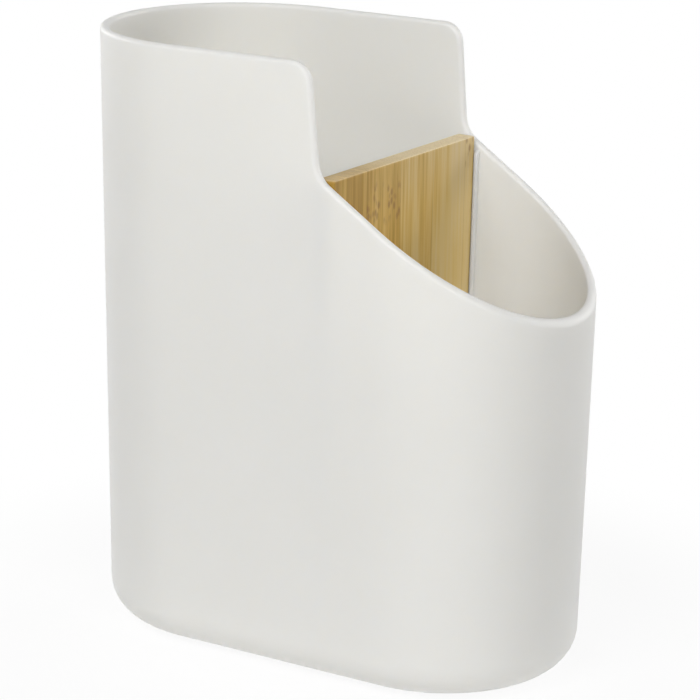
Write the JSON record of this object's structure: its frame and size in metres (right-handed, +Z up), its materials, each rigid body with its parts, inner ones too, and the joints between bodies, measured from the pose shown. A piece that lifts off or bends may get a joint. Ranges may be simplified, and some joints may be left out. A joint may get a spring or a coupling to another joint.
{
  "type": "utensil holder",
  "caption": "Free-standing kitchen utensil holder with a stepped, sloping rim and a lift-out wooden divider between a tall and a low compartment.",
  "frame": {"origin": "on the worktop, under the middle of the holder's overall box", "axes": "+Z up, +X from the tall end to the low end, +Y across the width; alike on both sides of the XZ plane"},
  "size_m": [0.1708, 0.095, 0.2],
  "materials": {
    "white_plastic": "smooth moulded plastic with a soft satin sheen",
    "bamboo": "sanded laminated bamboo, upright grain, thin clear oil",
    "silicone": "soft matt silicone"
  },
  "bodies": {
    "holder": {"vessel": "white_plastic", "pad_tall_end_front": "silicone", "pad_tall_end_back": "silicone", "pad_low_end_front": "silicone", "pad_low_end_back": "silicone"},
    "divider": {"divider": "bamboo"}
  },
  "joints": [
    {"name": "divider_lift", "type": "slide", "parent": "holder", "child": "divider", "axis": [0, 0, 1], "range_m": [0, 0.2]}
  ]
}
